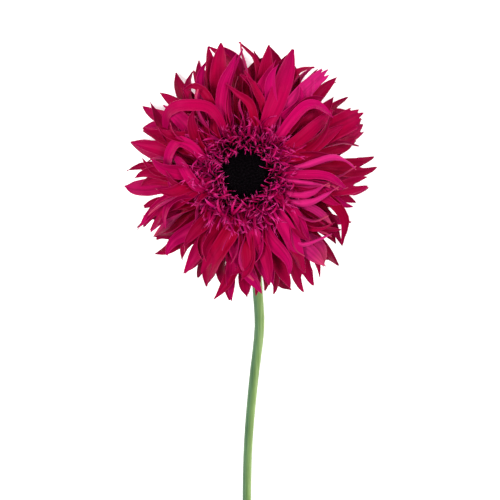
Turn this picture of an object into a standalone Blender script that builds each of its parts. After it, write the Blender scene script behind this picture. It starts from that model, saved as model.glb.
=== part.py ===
"""A cut spider gerbera lying on a flat surface, with its head propped on its neck and facing up.

The frame is in metres, +Z up. The stem runs along -Y from the head, and the head leans towards +Y.
The origin is the middle of the bounding box's underside, on the surface that the flower lies on.
Sizes below are in millimetres and degrees; mm() turns a size to metres.
"""

import math

import bmesh
import bpy
from mathutils import Euler, Matrix, Vector

# Driving dimensions
HEAD_LEAN = 20.0  # how far the head's axis leans from upright, towards +Y
NECK_BEND_RADIUS = 24.0
NECK_DEPTH = 12.0  # from the top of the stalk to the plane where the rays spread
STEM_REACH = 352.0  # from the head's axis to the cut end, along Y
STEM_RADIUS_AT_NECK = 2.6
STEM_RADIUS_AT_WAIST = 2.25
STEM_RADIUS_AT_CUT = 2.75
RAY_THICKNESS = 0.5
GAP = 0.3  # clearance between pieces that touch on the real flower

# The stem's side to side wander on the surface: (distance from the head's axis, offset along +X)
STEM_WANDER = [
    (30.0, 2.2),
    (52.0, 4.8),
    (70.0, 6.1),
    (86.0, 7.0),
    (98.0, 6.2),
    (112.0, 4.6),
    (128.0, 3.1),
    (146.0, 1.7),
    (165.0, 0.9),
    (190.0, 0.7),
    (240.0, 1.2),
    (295.0, 2.6),
    (352.0, 3.2),
]

# Each whorl of ray florets, from the back of the head to the front. Heights are above the plane
# where the rays spread, at the claw, half way out and at the tip.
WHORLS = {
    "outer": {"foot": 11.2, "heights": (-0.6, -2.6, -17.0), "above_floor": 0.4, "turn": -25.0},
    "middle": {"foot": 9.8, "heights": (1.2, 2.0, -8.5), "above_floor": 4.2, "turn": 3.0},
    "upper": {"foot": 8.4, "heights": (3.0, 7.2, 1.0), "above_floor": 8.4, "turn": 10.0},
    "front": {"foot": 7.0, "heights": (4.8, 12.0, 11.0), "above_floor": 14.0, "turn": 20.0},
}

# Ray florets, anticlockwise from +X: (direction of the tip in degrees, reach, width)
RAYS = {
    "outer": [
        (-16, 53, 5), (-3, 58, 8), (27, 62, 9), (46, 62, 6.5), (79, 62, 7.5), (99, 62, 8),
        (124, 59, 7), (145, 59, 6), (164, 56, 7), (185, 58, 8), (208, 53, 6), (225, 51, 6),
        (248, 54, 7), (292, 58, 6.5), (316, 62, 6.5),
    ],
    "middle": [
        (5, 61, 8), (37, 61, 6), (58, 60, 7), (86, 59, 5), (106, 62, 6), (136, 56, 6), (155, 53, 7),
        (178, 56, 4.5), (205, 57, 5), (221, 56, 6), (238, 55, 6), (262, 60, 5.5), (281, 58, 6),
        (300, 62, 8), (324, 57, 6),
    ],
    "upper": [
        (15, 55, 4.5), (53, 62, 7), (69, 61, 8), (92, 61, 4.5), (108, 57, 4.5), (126, 50, 6),
        (143, 56, 5.5), (171, 49, 4), (214, 52, 6.5), (234, 50, 5.5), (256, 61, 6), (272, 57, 6),
        (306, 60, 4.5), (343, 52, 5),
    ],
    "front": [
        (35, 48, 5), (73, 53, 5.5), (93, 46, 5), (118, 47, 6), (140, 50, 6.5), (171, 44, 6),
        (215, 45, 6), (244, 45, 7), (282, 53, 6.5), (300, 52, 7), (340, 47, 5.5),
    ],
}
RAY_STATIONS = 8  # cross sections along a ray


def mm(value):
    """Millimetres as metres."""
    return value / 1000


def clear_scene():
    for old in list(bpy.data.objects):
        bpy.data.objects.remove(old)


def material(name, colour, roughness):
    """A Principled material with no metal in it, as all of a flower is."""
    made = bpy.data.materials.new(name)
    made.use_nodes = True
    shader = made.node_tree.nodes["Principled BSDF"]
    shader.inputs["Base Color"].default_value = (*colour, 1.0)
    shader.inputs["Roughness"].default_value = roughness
    shader.inputs["Metallic"].default_value = 0.0
    return made


def node(name, mesh_data, finish, parent=None, sharp=60.0):
    """Links mesh data to the scene as one named object."""
    mesh_data.materials.append(finish)
    mesh_data.shade_smooth()
    mesh_data.set_sharp_from_angle(angle=math.radians(sharp))
    made = bpy.data.objects.new(name, mesh_data)
    bpy.context.scene.collection.objects.link(made)
    made.parent = parent
    return made


def mesh_from(bm, name):
    bmesh.ops.recalc_face_normals(bm, faces=bm.faces)
    data = bpy.data.meshes.new(name)
    bm.to_mesh(data)
    bm.free()
    return data


def smooth_step(share):
    share = min(1.0, max(0.0, share))
    return share * share * (3 - 2 * share)


def curve_through(knots, at):
    """The smooth curve (Catmull-Rom) through (place, value) knots, read at one place."""
    last = len(knots) - 1
    i = next((k for k in range(last) if at <= knots[k + 1][0]), last - 1)
    (x1, y1), (x2, y2) = knots[i], knots[i + 1]
    x0, y0 = knots[max(i - 1, 0)]
    x3, y3 = knots[min(i + 2, last)]
    slope1 = (y2 - y0) / max(x2 - x0, 1e-9)
    slope2 = (y3 - y1) / max(x3 - x1, 1e-9)
    span = x2 - x1
    t = min(1.0, max(0.0, (at - x1) / span))
    return (
        (2 * t**3 - 3 * t**2 + 1) * y1
        + (t**3 - 2 * t**2 + t) * slope1 * span
        + (-2 * t**3 + 3 * t**2) * y2
        + (t**3 - t**2) * slope2 * span
    )


# ---- Where the head sits ----


def head_place():
    """Centre of the plane where the rays spread, with the stem's start above the surface."""
    bend = math.radians(90 - HEAD_LEAN)
    lean = math.radians(HEAD_LEAN)
    height = (
        STEM_RADIUS_AT_NECK
        + NECK_BEND_RADIUS * (1 - math.cos(bend))
        + NECK_DEPTH * math.cos(lean)
    )
    return Vector((0, 0, height))


def neck_length_on_floor():
    """Distance along Y from the head's centre to where the neck starts to rise."""
    bend = math.radians(90 - HEAD_LEAN)
    lean = math.radians(HEAD_LEAN)
    return NECK_BEND_RADIUS * math.sin(bend) + NECK_DEPTH * math.sin(lean)


def stem_stations():
    """(centre, direction, radius) of each cross section, from the cut end to under the head."""
    start = neck_length_on_floor()
    stations = []
    along = STEM_REACH
    while along > start + 1:
        offset = curve_through(STEM_WANDER, along)
        radius = curve_through(
            [
                (start, STEM_RADIUS_AT_NECK),
                (80.0, STEM_RADIUS_AT_NECK - 0.05),
                (175.0, STEM_RADIUS_AT_WAIST),
                (STEM_REACH, STEM_RADIUS_AT_CUT),
            ],
            along,
        )
        stations.append([Vector((offset, -along, radius)), radius])
        along -= 11.0
    steps = 9
    bend = math.radians(90 - HEAD_LEAN)
    for step in range(steps + 1):
        turn = bend * step / steps
        y = -start + NECK_BEND_RADIUS * math.sin(turn)
        z = STEM_RADIUS_AT_NECK + NECK_BEND_RADIUS * (1 - math.cos(turn))
        rise = step / steps
        x = curve_through(STEM_WANDER, start) * (1 - smooth_step(rise))
        radius = STEM_RADIUS_AT_NECK + 0.5 * rise**2
        stations.append([Vector((x, y, z)), radius])
    return stations


# The stalk widens under the head into the receptacle: (height above the spread plane, radius)
RECEPTACLE = [(-11.2, 3.2), (-9.8, 4.3), (-7.4, 6.9), (-5.0, 9.3), (-3.4, 10.9), (-2.6, 11.6)]
RECEPTACLE_TOP = RECEPTACLE[-1][0]


def ring_of(bm, centre, direction, radius, sides):
    """A circle of vertices square to a direction, with its first vertex always near +X."""
    across = Vector((1, 0, 0))
    across = (across - across.dot(direction) * direction).normalized()
    other = direction.cross(across)
    circle = []
    for k in range(sides):
        angle = math.tau * k / sides
        offset = radius * (math.cos(angle) * across + math.sin(angle) * other)
        circle.append(bm.verts.new((centre + offset) * mm(1)))
    return circle


def stem_with_receptacle(finish, place):
    """The scape: one grown piece, from the cut end through the bent neck to the receptacle."""
    sides = 12
    stations = stem_stations()
    axis = place.to_3x3() @ Vector((0, 0, 1))
    for height, radius in RECEPTACLE:
        stations.append([place @ Vector((0, 0, height)), radius])
    bm = bmesh.new()
    rings = []
    for i, (centre, radius) in enumerate(stations):
        before = stations[max(i - 1, 0)][0]
        after = stations[min(i + 1, len(stations) - 1)][0]
        direction = (after - before).normalized()
        if i >= len(stations) - len(RECEPTACLE):
            direction = axis
        rings.append(ring_of(bm, centre, direction, radius, sides))
    for lower, upper in zip(rings, rings[1:]):
        for k in range(sides):
            n = (k + 1) % sides
            bm.faces.new((lower[k], lower[n], upper[n], upper[k]))
    bm.faces.new(rings[0])
    bm.faces.new(rings[-1])
    return node("stem", mesh_from(bm, "stem"), finish, sharp=50)


def spun(name, outline, finish, head, sides=28, closed_ring=False):
    """Turns an outline of (radius, height) about the head's axis."""
    bm = bmesh.new()
    verts = [bm.verts.new((mm(r), 0, mm(z))) for r, z in outline]
    edges = [bm.edges.new(pair) for pair in zip(verts, verts[1:])]
    if closed_ring:
        edges.append(bm.edges.new((verts[-1], verts[0])))
    bmesh.ops.spin(
        bm,
        geom=verts + edges,
        cent=(0, 0, 0),
        axis=(0, 0, 1),
        angle=math.tau,
        steps=sides,
        use_merge=True,
    )
    bmesh.ops.remove_doubles(bm, verts=bm.verts, dist=mm(0.005))
    return node(name, mesh_from(bm, name), finish, head)


def involucre(finish, head):
    """The cup of green bracts round the receptacle, with their points as a toothed rim."""
    bracts = 14
    outline = [
        (3.55, -11.2), (4.7, -9.9), (7.3, -7.6), (9.8, -5.3), (11.6, -3.6), (12.3, -2.6), (12.6, -1.6),
        (13.7, -1.9), (13.5, -3.9), (11.8, -6.9), (8.6, -9.9), (5.4, -11.9), (3.75, -12.2),
    ]
    rim = (12.6, 13.7)
    made = spun("involucre", outline, finish, head, sides=2 * bracts, closed_ring=True)
    for vertex in made.data.vertices:
        radius = math.hypot(vertex.co.x, vertex.co.y)
        if radius < mm(rim[0] - 0.05) or vertex.co.z < mm(-2.2):
            continue
        turn = math.atan2(vertex.co.y, vertex.co.x) * bracts / math.tau
        if abs(turn - round(turn)) > 0.25:
            vertex.co.z -= mm(1.1)


def disc_florets(finish, head):
    """The dark eye: unopened disc florets packed on a column, joined as one piece."""
    outline = [
        (0, RECEPTACLE_TOP + GAP), (4.2, RECEPTACLE_TOP + GAP), (4.5, 5.8), (6.4, 8.4), (9.2, 10.2),
        (10.4, 11.0), (10.7, 12.0), (9.0, 13.2), (5.2, 13.9), (0, 14.1),
    ]
    spun("disc_florets", outline, finish, head, sides=24)


def trans_florets(finish, head):
    """The frill of short florets between the eye and the rays, joined as one ring."""
    outline = [
        (4.9, RECEPTACLE_TOP + GAP), (6.0, RECEPTACLE_TOP + GAP), (6.2, 4.6), (7.6, 6.2), (12.0, 9.0),
        (18.0, 12.0), (24.0, 14.4), (25.2, 15.6), (23.0, 17.4), (18.0, 18.4), (14.0, 17.2),
        (11.4, 14.4), (11.2, 11.2), (9.6, 9.7), (6.9, 7.8), (5.0, 5.6),
    ]
    spun("trans_florets", outline, finish, head, sides=32, closed_ring=True)


# ---- Ray florets ----


def ray_height(heights, share):
    """The height through the three that a whorl gives, at the claw, half way and the tip."""
    claw, middle, tip = heights
    return claw + (4 * middle - 3 * claw - tip) * share + (2 * claw + 2 * tip - 4 * middle) * share**2


def lowest_height(y, above_floor):
    """The height in the head's frame at which a point is this far above the surface."""
    lean = math.radians(HEAD_LEAN)
    return (above_floor - head_place().z + y * math.sin(lean)) / math.cos(lean)


def soft_max(a, b, softness=2.5):
    """The larger of two heights, with the corner between them rounded."""
    return (a + b + math.sqrt((a - b) ** 2 + softness**2)) / 2


def ray_line(whorl, base_turn, tip_turn, reach):
    """Points along the middle of a ray in the head's frame, from the claw's foot to the tip."""
    foot = whorl["foot"]
    points = []
    for i in range(RAY_STATIONS + 1):
        share = max(0, i - 1) / (RAY_STATIONS - 1)
        turn = math.radians(base_turn + (tip_turn - base_turn) * share**1.25)
        out = foot + 0.6 + (reach - foot - 0.6) * share
        height = ray_height(whorl["heights"], share)
        least = lowest_height(out * math.sin(turn), whorl["above_floor"])
        if share > 0.35:
            height = height + (soft_max(height, least) - height) * smooth_step((share - 0.35) / 0.3)
        if i == 0:
            out, height = foot, RECEPTACLE_TOP + GAP + 0.15
        points.append(Vector((out * math.cos(turn), out * math.sin(turn), height)))
    return points


def ray_half_width(share, width):
    """Narrow claw, widest past the middle, drawn in to a point."""
    if share < 0.55:
        return width / 2 * (0.26 + 0.74 * smooth_step(share / 0.5))
    return width / 2 * math.sqrt(max(0.02, 1 - ((share - 0.55) / 0.46) ** 2))


def ray_floret(name, whorl, base_turn, tip_turn, reach, width, finish, head):
    """One strap-shaped floret: a gutter that follows its middle line, given its thickness."""
    line = ray_line(whorl, base_turn, tip_turn, reach)
    bm = bmesh.new()
    bmesh.ops.create_grid(bm, x_segments=RAY_STATIONS, y_segments=2, size=0.5)
    for vertex in bm.verts:
        i = round((vertex.co.x + 0.5) * RAY_STATIONS)
        side = round(vertex.co.y * 2)
        before, after = line[max(i - 1, 0)], line[min(i + 1, RAY_STATIONS)]
        tangent = (after - before).normalized()
        turn = math.atan2(line[i].y, line[i].x)
        across = Vector((-math.sin(turn), math.cos(turn), 0))
        across = (across - across.dot(tangent) * tangent).normalized()
        up = tangent.cross(across)
        half = ray_half_width(max(0, i - 1) / (RAY_STATIONS - 1), width)
        cup = 0.12 * half if side else -0.1 * half
        vertex.co = (line[i] + side * half * across + cup * up) * mm(1)
    made = node(name, mesh_from(bm, name), finish, head, sharp=80)
    skin = made.modifiers.new("thickness", "SOLIDIFY")
    skin.thickness = mm(RAY_THICKNESS)
    skin.offset = 0


def ray_florets(finish, head):
    """All four whorls, each ray evenly spaced at its foot and leaning its own way at its tip."""
    for whorl_name, rays in RAYS.items():
        whorl = WHORLS[whorl_name]
        for i, (tip_turn, reach, width) in enumerate(rays):
            base_turn = whorl["turn"] + 360 * i / len(rays)
            name = f"ray_{whorl_name}_{i + 1:02d}"
            ray_floret(name, whorl, base_turn, tip_turn, reach, width, finish, head)


def rest_on_origin(roots):
    """Moves the whole flower so that its box stands centred on the origin."""
    bpy.context.view_layer.update()
    graph = bpy.context.evaluated_depsgraph_get()
    low, high = Vector((1, 1, 1)), Vector((-1, -1, -1))
    for made in bpy.context.scene.objects:
        if made.type != "MESH":
            continue
        shown = made.evaluated_get(graph)
        for vertex in shown.data.vertices:
            place = shown.matrix_world @ vertex.co
            low = Vector(map(min, low, place))
            high = Vector(map(max, high, place))
    shift = Vector(((low.x + high.x) / 2, (low.y + high.y) / 2, low.z))
    for root in roots:
        root.location -= shift


def main():
    clear_scene()
    petal = material("petal magenta", (0.56, 0.003, 0.10), 0.5)
    frill = material("frill magenta", (0.42, 0.003, 0.09), 0.5)
    eye = material("dark eye", (0.004, 0.003, 0.005), 0.8)
    green = material("stem green", (0.19, 0.30, 0.11), 0.55)
    bract = material("bract green", (0.13, 0.22, 0.07), 0.6)

    place = head_place()
    lean = Euler((-math.radians(HEAD_LEAN), 0, 0))
    head = bpy.data.objects.new("head", None)
    head.location = place * mm(1)
    head.rotation_euler = lean
    bpy.context.scene.collection.objects.link(head)

    matrix = Matrix.Translation(place) @ lean.to_matrix().to_4x4()
    stem = stem_with_receptacle(green, matrix)
    involucre(bract, head)
    disc_florets(eye, head)
    trans_florets(frill, head)
    ray_florets(petal, head)
    rest_on_origin([head, stem])


main()
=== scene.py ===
# Cut spider gerbera, lying on its stem with the head propped on its bent neck.
# Lengths in the dictionaries are millimetres and turns are degrees, in the head's own frame:
# +Z is the way the flower faces, and turns run anticlockwise from +X.
import math
import random

import bmesh
import bpy
from mathutils import Euler, Matrix, Vector


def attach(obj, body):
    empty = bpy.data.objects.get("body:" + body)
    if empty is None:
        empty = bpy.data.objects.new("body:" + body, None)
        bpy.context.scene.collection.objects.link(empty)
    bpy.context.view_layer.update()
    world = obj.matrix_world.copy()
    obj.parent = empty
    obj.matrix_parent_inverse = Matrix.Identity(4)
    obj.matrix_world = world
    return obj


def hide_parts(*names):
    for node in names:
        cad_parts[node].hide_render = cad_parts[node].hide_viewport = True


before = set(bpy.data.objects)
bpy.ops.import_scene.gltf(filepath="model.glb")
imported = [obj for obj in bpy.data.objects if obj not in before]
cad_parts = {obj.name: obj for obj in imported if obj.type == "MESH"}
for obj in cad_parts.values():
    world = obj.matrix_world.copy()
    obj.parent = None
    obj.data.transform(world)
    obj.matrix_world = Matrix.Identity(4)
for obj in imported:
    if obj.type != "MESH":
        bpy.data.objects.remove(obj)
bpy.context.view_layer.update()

mm = 0.001
chance = random.Random(11)
print("frame loaded:", len(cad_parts), "nodes")


def hexLinear(text):
    # an sRGB hex colour as linear RGBA
    parts = [int(text[i:i + 2], 16) / 255 for i in (1, 3, 5)]
    return tuple(p / 12.92 if p <= 0.04045 else ((p + 0.055) / 1.055) ** 2.4 for p in parts) + (1.0,)


def addNode(mat, kind, sockets=None, stops=(), **settings):
    # One node with its settings. A socket that is given an output is linked to it, and one that is
    # given a node to that node's first output. Anything else is set, with hex text read as a colour.
    # The stops are a colour ramp's.
    node = mat.node_tree.nodes.new("ShaderNode" + kind)
    for key, value in settings.items():
        setattr(node, key, value)
    for key, value in (sockets or {}).items():
        if isinstance(value, bpy.types.Node):
            value = value.outputs[0]
        if isinstance(value, bpy.types.NodeSocket):
            mat.node_tree.links.new(value, node.inputs[key])
        else:
            node.inputs[key].default_value = hexLinear(value) if isinstance(value, str) else value
    points = node.color_ramp.elements if stops else []
    while len(points) < len(stops):
        points.new(0.5)
    for point, (place, colour) in zip(points, stops):
        point.position = place
        point.color = hexLinear(colour)
    return node


def blankMaterial(name):
    mat = bpy.data.materials.new(name)
    mat.use_nodes = True
    mat.node_tree.nodes.clear()
    return mat


def finishMaterial(mat, shader):
    addNode(mat, "OutputMaterial", {"Surface": shader})
    return mat


def only(piece):
    # this piece alone is selected and active
    bpy.ops.object.select_all(action="DESELECT")
    piece.select_set(True)
    bpy.context.view_layer.objects.active = piece


def pick(piece, wanted):
    # in edit mode, selects just the vertices that pass the test
    bpy.ops.mesh.select_mode(type="VERT")
    bm = bmesh.from_edit_mesh(piece.data)
    bm.verts.index_update()
    for vertex in bm.verts:
        vertex.select_set(wanted(vertex))
    bm.select_flush(True)
    bmesh.update_edit_mesh(piece.data)


def moved(piece, wanted, by):
    pick(piece, wanted)
    bpy.ops.transform.translate(value=by)


def scaled(piece, wanted, by):
    # about the origin, where every template starts
    pick(piece, wanted)
    bpy.ops.transform.resize(value=by, center_override=(0, 0, 0))


def flatStrap(name, cutsAlong, cutsAcross, length, width):
    # a flat grid from the origin along +X, left in edit mode
    bpy.ops.object.select_all(action="DESELECT")
    bpy.ops.mesh.primitive_grid_add(x_subdivisions=cutsAlong, y_subdivisions=cutsAcross,
                                    size=1, calc_uvs=True)
    strap = bpy.context.object
    strap.name = name
    bpy.ops.object.mode_set(mode="EDIT")
    bpy.ops.mesh.select_all(action="SELECT")
    bpy.ops.transform.resize(value=(length, width, 1))
    bpy.ops.transform.translate(value=(length / 2, 0, 0))
    return strap


def modifierApplied(piece, kind, **settings):
    only(piece)
    made = piece.modifiers.new(kind.lower(), kind)
    for key, value in settings.items():
        setattr(made, key, value)
    bpy.ops.object.modifier_apply(modifier=made.name)


def smoothed(piece, degrees):
    # edges that turn by more than this stay crisp
    only(piece)
    bpy.ops.object.shade_smooth_by_angle(angle=math.radians(degrees))


def copyOf(piece, name):
    made = piece.copy()
    made.data = piece.data.copy()
    made.name = made.data.name = name
    bpy.context.scene.collection.objects.link(made)
    return made


def joined(pieces, name):
    only(pieces[0])
    for piece in pieces:
        piece.select_set(True)
    bpy.ops.object.join()
    pieces[0].name = pieces[0].data.name = name
    return pieces[0]


def smoothStep(share):
    share = min(1.0, max(0.0, share))
    return share * share * (3 - 2 * share)


def curveThrough(knots, at):
    # the smooth curve through (place, value) knots, read at one place
    last = len(knots) - 1
    i = next((k for k in range(last) if at <= knots[k + 1][0]), last - 1)
    (x1, y1), (x2, y2) = knots[i], knots[i + 1]
    x0, y0 = knots[max(i - 1, 0)]
    x3, y3 = knots[min(i + 2, last)]
    slope1 = (y2 - y0) / max(x2 - x0, 1e-9)
    slope2 = (y3 - y1) / max(x3 - x1, 1e-9)
    t = min(1.0, max(0.0, (at - x1) / (x2 - x1)))
    bend1 = (t**3 - 2 * t**2 + t) * slope1 * (x2 - x1)
    bend2 = (t**3 - t**2) * slope2 * (x2 - x1)
    return (2 * t**3 - 3 * t**2 + 1) * y1 + bend1 + (3 * t**2 - 2 * t**3) * y2 + bend2


head = {
    "lean": 20.0,        # from upright, towards +Y
    "columnFoot": -2.3,  # the eye's column starts this far below the plane where the rays spread
    "clearance": 0.1,    # no shown piece comes nearer to the surface than this
}


def headPlace():
    # the eye's column is turned about the head's axis, so its mean lies on it
    lean = math.radians(head["lean"])
    axis = Vector((0, math.sin(lean), math.cos(lean)))
    points = [v.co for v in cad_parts["disc_florets"].data.vertices]
    middle = sum(points, Vector()) / len(points)
    foot = min(p.dot(axis) for p in points)
    place = middle + axis * (foot - middle.dot(axis) - head["columnFoot"] * mm)
    return Matrix.Translation(place) @ Euler((-lean, 0, 0)).to_matrix().to_4x4()


headMatrix = headPlace()


def settle(piece, name, crisp):
    # from the head's frame to the row frame, resting on the surface wherever it would sink
    piece.data.transform(headMatrix)
    for vertex in piece.data.vertices:
        vertex.co.z = max(vertex.co.z, head["clearance"] * mm)
    piece.name = piece.data.name = name
    smoothed(piece, crisp)
    return piece


petalSkin = {
    # gerbera ray: a soft petal with a velvet bloom over crimson to magenta sap
    # near black at the claw: the deep red darkened as painted shade, for the gaps where the claws lie under
    # other petals
    "claw": "#380006",
    "blade": "#a40231",
    "tip": "#9a0250",
    "dark": "#5c000e",
    "red": "#92011a",
    "pink": "#c60464",
    "pale": "#e82c8c",
    "under": "#ac1c60",
    "underTip": "#d84c6c",
    # painted highlight along the petal margins
    "marginHighlight": "#f43088",
    "through": "#b8001c",
    "veinsAcross": 7.0,
}


def petalMaterial(name, underside):
    # Living petal: papery cells full of magenta sap. Light comes through it redder than it went in.
    mat = blankMaterial(name)
    uv = addNode(mat, "UVMap", uv_map="UVMap")
    split = addNode(mat, "SeparateXYZ", {"Vector": uv})
    along, across = split.outputs["X"], split.outputs["Y"]
    tint = addNode(mat, "Attribute", attribute_name="tint").outputs["Fac"]
    # along the strap: painted shade at the claw, where the petals' feet lie in shadow, rising to the
    # blade's own crimson and the tip
    body = addNode(mat, "ValToRGB", {"Fac": along}, [
        (0.0, petalSkin["claw"]), (0.26, petalSkin["red"]),
        (0.55, petalSkin["blade"]), (1.0, petalSkin["tip"]),
    ])
    # tint: random tone from dark red to pink for most rays; on chosen strays the low end is painted shade
    # and the pale end near 1 a painted highlight
    hue = addNode(mat, "ValToRGB", {"Fac": tint}, [
        (0.0, petalSkin["dark"]), (0.25, petalSkin["red"]), (0.55, petalSkin["blade"]),
        (0.85, petalSkin["pink"]), (1.0, petalSkin["pale"]),
    ])
    body = addNode(mat, "MixRGB", {"Fac": 0.6, "Color1": body, "Color2": hue})
    if underside:
        pale = addNode(mat, "ValToRGB", {"Fac": along}, [
            (0.0, petalSkin["blade"]), (0.55, petalSkin["under"]),
            (0.8, petalSkin["under"]), (1.0, petalSkin["underTip"]),
        ])
        body = addNode(mat, "MixRGB", {"Fac": 0.75, "Color1": body, "Color2": pale})
    # veins run the length of the strap, about a millimetre apart so that they show
    veinPlace = addNode(mat, "CombineXYZ", {
        "X": addNode(mat, "Math", {0: along, 1: 1.3}, operation="MULTIPLY"),
        "Y": addNode(mat, "Math", {0: across, 1: petalSkin["veinsAcross"]},
                     operation="MULTIPLY"),
        "Z": addNode(mat, "Math", {0: tint, 1: 23.0}, operation="MULTIPLY"),
    })
    veins = addNode(mat, "TexNoise", {
        "Vector": veinPlace, "Scale": 1.0, "Detail": 3.0, "Roughness": 0.6,
    })
    shade = addNode(mat, "ValToRGB", {"Fac": veins},
                    [(0.32, "#8c8c8c"), (0.5, "#dcdcdc"), (0.7, "#ffffff")])
    body = addNode(mat, "MixRGB", {"Fac": 0.55, "Color1": body, "Color2": shade},
                   blend_type="MULTIPLY")
    # painted highlight: a thin brighter pink line along both margins, where the light catches the edges
    marginHighlight = addNode(mat, "Math", {0: across, 1: 0.5}, operation="SUBTRACT")
    marginHighlight = addNode(mat, "Math", {0: marginHighlight}, operation="ABSOLUTE")
    marginHighlight = addNode(mat, "MapRange", {
        "Value": marginHighlight, "From Min": 0.43, "From Max": 0.5, "To Min": 0.0, "To Max": 0.14,
    })
    body = addNode(mat, "MixRGB", {
        "Fac": marginHighlight, "Color1": body, "Color2": petalSkin["marginHighlight"],
    })
    bump = addNode(mat, "Bump", {"Height": veins, "Strength": 0.35, "Distance": 0.2 * mm})
    skin = addNode(mat, "BsdfPrincipled", {
        "Base Color": body, "Roughness": 0.42, "IOR": 1.4, "Normal": bump,
        "Specular IOR Level": 0.3, "Specular Tint": "#ff4896",
        "Sheen Weight": 0.08, "Sheen Roughness": 0.35, "Sheen Tint": "#ff1478",
    })
    through = addNode(mat, "MixRGB", {
        "Fac": 0.6, "Color1": body, "Color2": petalSkin["through"],
    })
    glow = addNode(mat, "BsdfTranslucent", {"Color": through})
    return finishMaterial(mat, addNode(mat, "MixShader", {0: 0.16, 1: skin, 2: glow}))


def frillMaterial():
    # the short florets are the same tissue: the near-black foot is painted shade of the packed gaps and the
    # bright pink lips a painted highlight, over the tissue's own magenta
    mat = blankMaterial("gerbera frill tissue")
    uv = addNode(mat, "UVMap", uv_map="UVMap")
    along = addNode(mat, "SeparateXYZ", {"Vector": uv}).outputs["X"]
    # painted shade at the foot, painted highlight at the lips
    body = addNode(mat, "ValToRGB", {"Fac": along},
                   [(0.0, "#24000a"), (0.4, "#7c022e"), (0.72, "#bc0458"), (1.0, "#f84cac")])
    tint = addNode(mat, "Attribute", attribute_name="tint").outputs["Fac"]
    hue = addNode(mat, "ValToRGB", {"Fac": tint},
                  [(0.0, "#780228"), (0.6, "#b00452"), (1.0, "#d81884")])
    body = addNode(mat, "MixRGB", {"Fac": 0.45, "Color1": body, "Color2": hue})
    skin = addNode(mat, "BsdfPrincipled", {
        "Base Color": body, "Roughness": 0.34, "IOR": 1.4,
        "Specular IOR Level": 0.32, "Specular Tint": "#ff70b8",
    })
    glow = addNode(mat, "BsdfTranslucent", {"Color": body})
    return finishMaterial(mat, addNode(mat, "MixShader", {0: 0.22, 1: skin, 2: glow}))


def frillShadeSheetMaterial():
    # a dark sheet under the frill that stands in for the shade in the gaps between the florets: painted
    # shade, nearly black wine
    mat = blankMaterial("gerbera frill painted shade")
    place = addNode(mat, "TexCoord").outputs["Object"]
    cells = addNode(mat, "TexVoronoi", {"Vector": place, "Scale": 900.0})
    body = addNode(mat, "ValToRGB", {"Fac": cells}, [(0.1, "#2c0310"), (0.6, "#0a0204")])
    return finishMaterial(mat, addNode(mat, "BsdfPrincipled", {
        "Base Color": body, "Roughness": 0.8, "IOR": 1.4, "Specular IOR Level": 0.1,
    }))


def eyeMaterial():
    # unopened buds, almost black aubergine, with a dull waxy bloom
    mat = blankMaterial("gerbera eye buds")
    place = addNode(mat, "TexCoord").outputs["Object"]
    grain = addNode(mat, "TexNoise", {"Vector": place, "Scale": 900.0, "Detail": 2.0})
    body = addNode(mat, "ValToRGB", {"Fac": grain}, [(0.35, "#010001"), (0.65, "#070306")])
    return finishMaterial(mat, addNode(mat, "BsdfPrincipled", {
        "Base Color": body, "Roughness": 0.55, "IOR": 1.4, "Specular IOR Level": 0.03,
    }))


def stemMaterial():
    # scape: green skin with fine down; the side facing +X, towards the right lamp, is painted lighter and
    # yellower and the other side darker, as painted light and shade
    mat = blankMaterial("gerbera scape skin")
    place = addNode(mat, "TexCoord").outputs["Object"]
    drawn = addNode(mat, "Mapping", {"Vector": place, "Scale": (900.0, 45.0, 900.0)})
    fibres = addNode(mat, "TexNoise", {"Vector": drawn, "Scale": 1.0, "Detail": 4.0})
    shaded = addNode(mat, "ValToRGB", {"Fac": fibres},
                     [(0.3, "#345838"), (0.52, "#446844"), (0.75, "#587a50")])
    lit = addNode(mat, "ValToRGB", {"Fac": fibres},
                  [(0.3, "#7a984e"), (0.52, "#8eaa60"), (0.75, "#acc484")])
    # painted light and shade: the +X side takes the lit green, the far side the shaded green
    paintedLitSide = addNode(mat, "Attribute", attribute_name="paintedLitSide").outputs["Fac"]
    side = addNode(mat, "MapRange", {"Value": paintedLitSide, "From Min": 0.25, "From Max": 0.95})
    body = addNode(mat, "MixRGB", {"Fac": side, "Color1": shaded, "Color2": lit})
    blotch = addNode(mat, "TexNoise", {"Vector": place, "Scale": 60.0, "Detail": 3.0})
    tone = addNode(mat, "ValToRGB", {"Fac": blotch}, [(0.35, "#9aae7c"), (0.65, "#ffffff")])
    body = addNode(mat, "MixRGB", {"Fac": 0.3, "Color1": body, "Color2": tone},
                   blend_type="MULTIPLY")
    bump = addNode(mat, "Bump", {"Height": fibres, "Strength": 0.4, "Distance": 0.15 * mm})
    return finishMaterial(mat, addNode(mat, "BsdfPrincipled", {
        "Base Color": body, "Roughness": 0.5, "IOR": 1.42, "Normal": bump,
        "Sheen Weight": 0.3, "Sheen Roughness": 0.35, "Sheen Tint": "#f4ffd0", "Subsurface Weight": 0.15,
        "Subsurface Radius": (0.8, 1.2, 0.4), "Subsurface Scale": 1.0 * mm,
    }))


def pithMaterial():
    # the cut face: wet pale pith round the hollow
    mat = blankMaterial("gerbera cut pith")
    place = addNode(mat, "TexCoord").outputs["Object"]
    cells = addNode(mat, "TexVoronoi", {"Vector": place, "Scale": 1800.0})
    body = addNode(mat, "ValToRGB", {"Fac": cells}, [(0.0, "#a9bb86"), (0.6, "#dfe6c4")])
    return finishMaterial(mat, addNode(mat, "BsdfPrincipled", {
        "Base Color": body, "Roughness": 0.35, "IOR": 1.36,
    }))


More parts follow.
